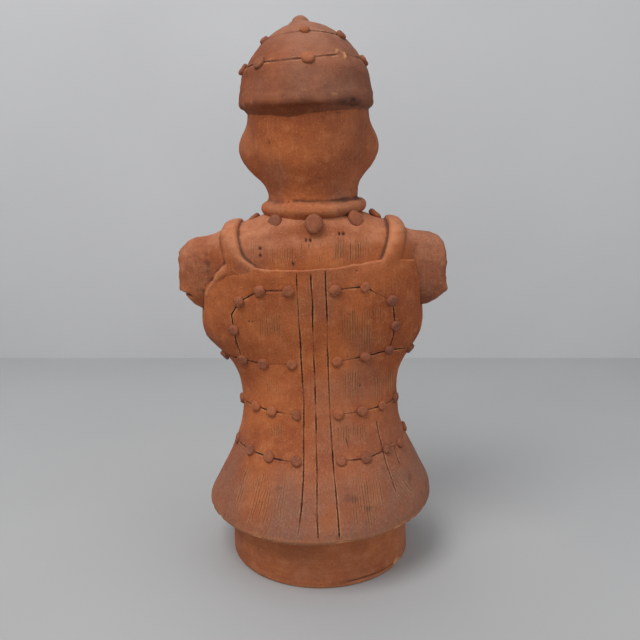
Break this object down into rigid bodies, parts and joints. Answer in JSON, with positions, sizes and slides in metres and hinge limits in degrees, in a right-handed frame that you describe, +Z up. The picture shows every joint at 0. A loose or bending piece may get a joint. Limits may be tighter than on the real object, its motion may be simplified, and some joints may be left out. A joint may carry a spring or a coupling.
{
  "type": "haniwa figure",
  "caption": "Hollow fired-clay haniwa warrior, cut off at the hips on a round foot, with riveted cuirass and helmet, bead necklace and broken arm stumps.",
  "frame": {"origin": "on the ground, under the middle of the figure's own box", "axes": "+Z up, the figure faces -Y, and its own left hand is on +X"},
  "size_m": [0.231, 0.1972, 0.4599],
  "materials": {
    "terracotta": "matte, low-fired, unglazed"
  },
  "bodies": {
    "root": {"haniwa_figure": "terracotta"}
  },
  "joints": []
}
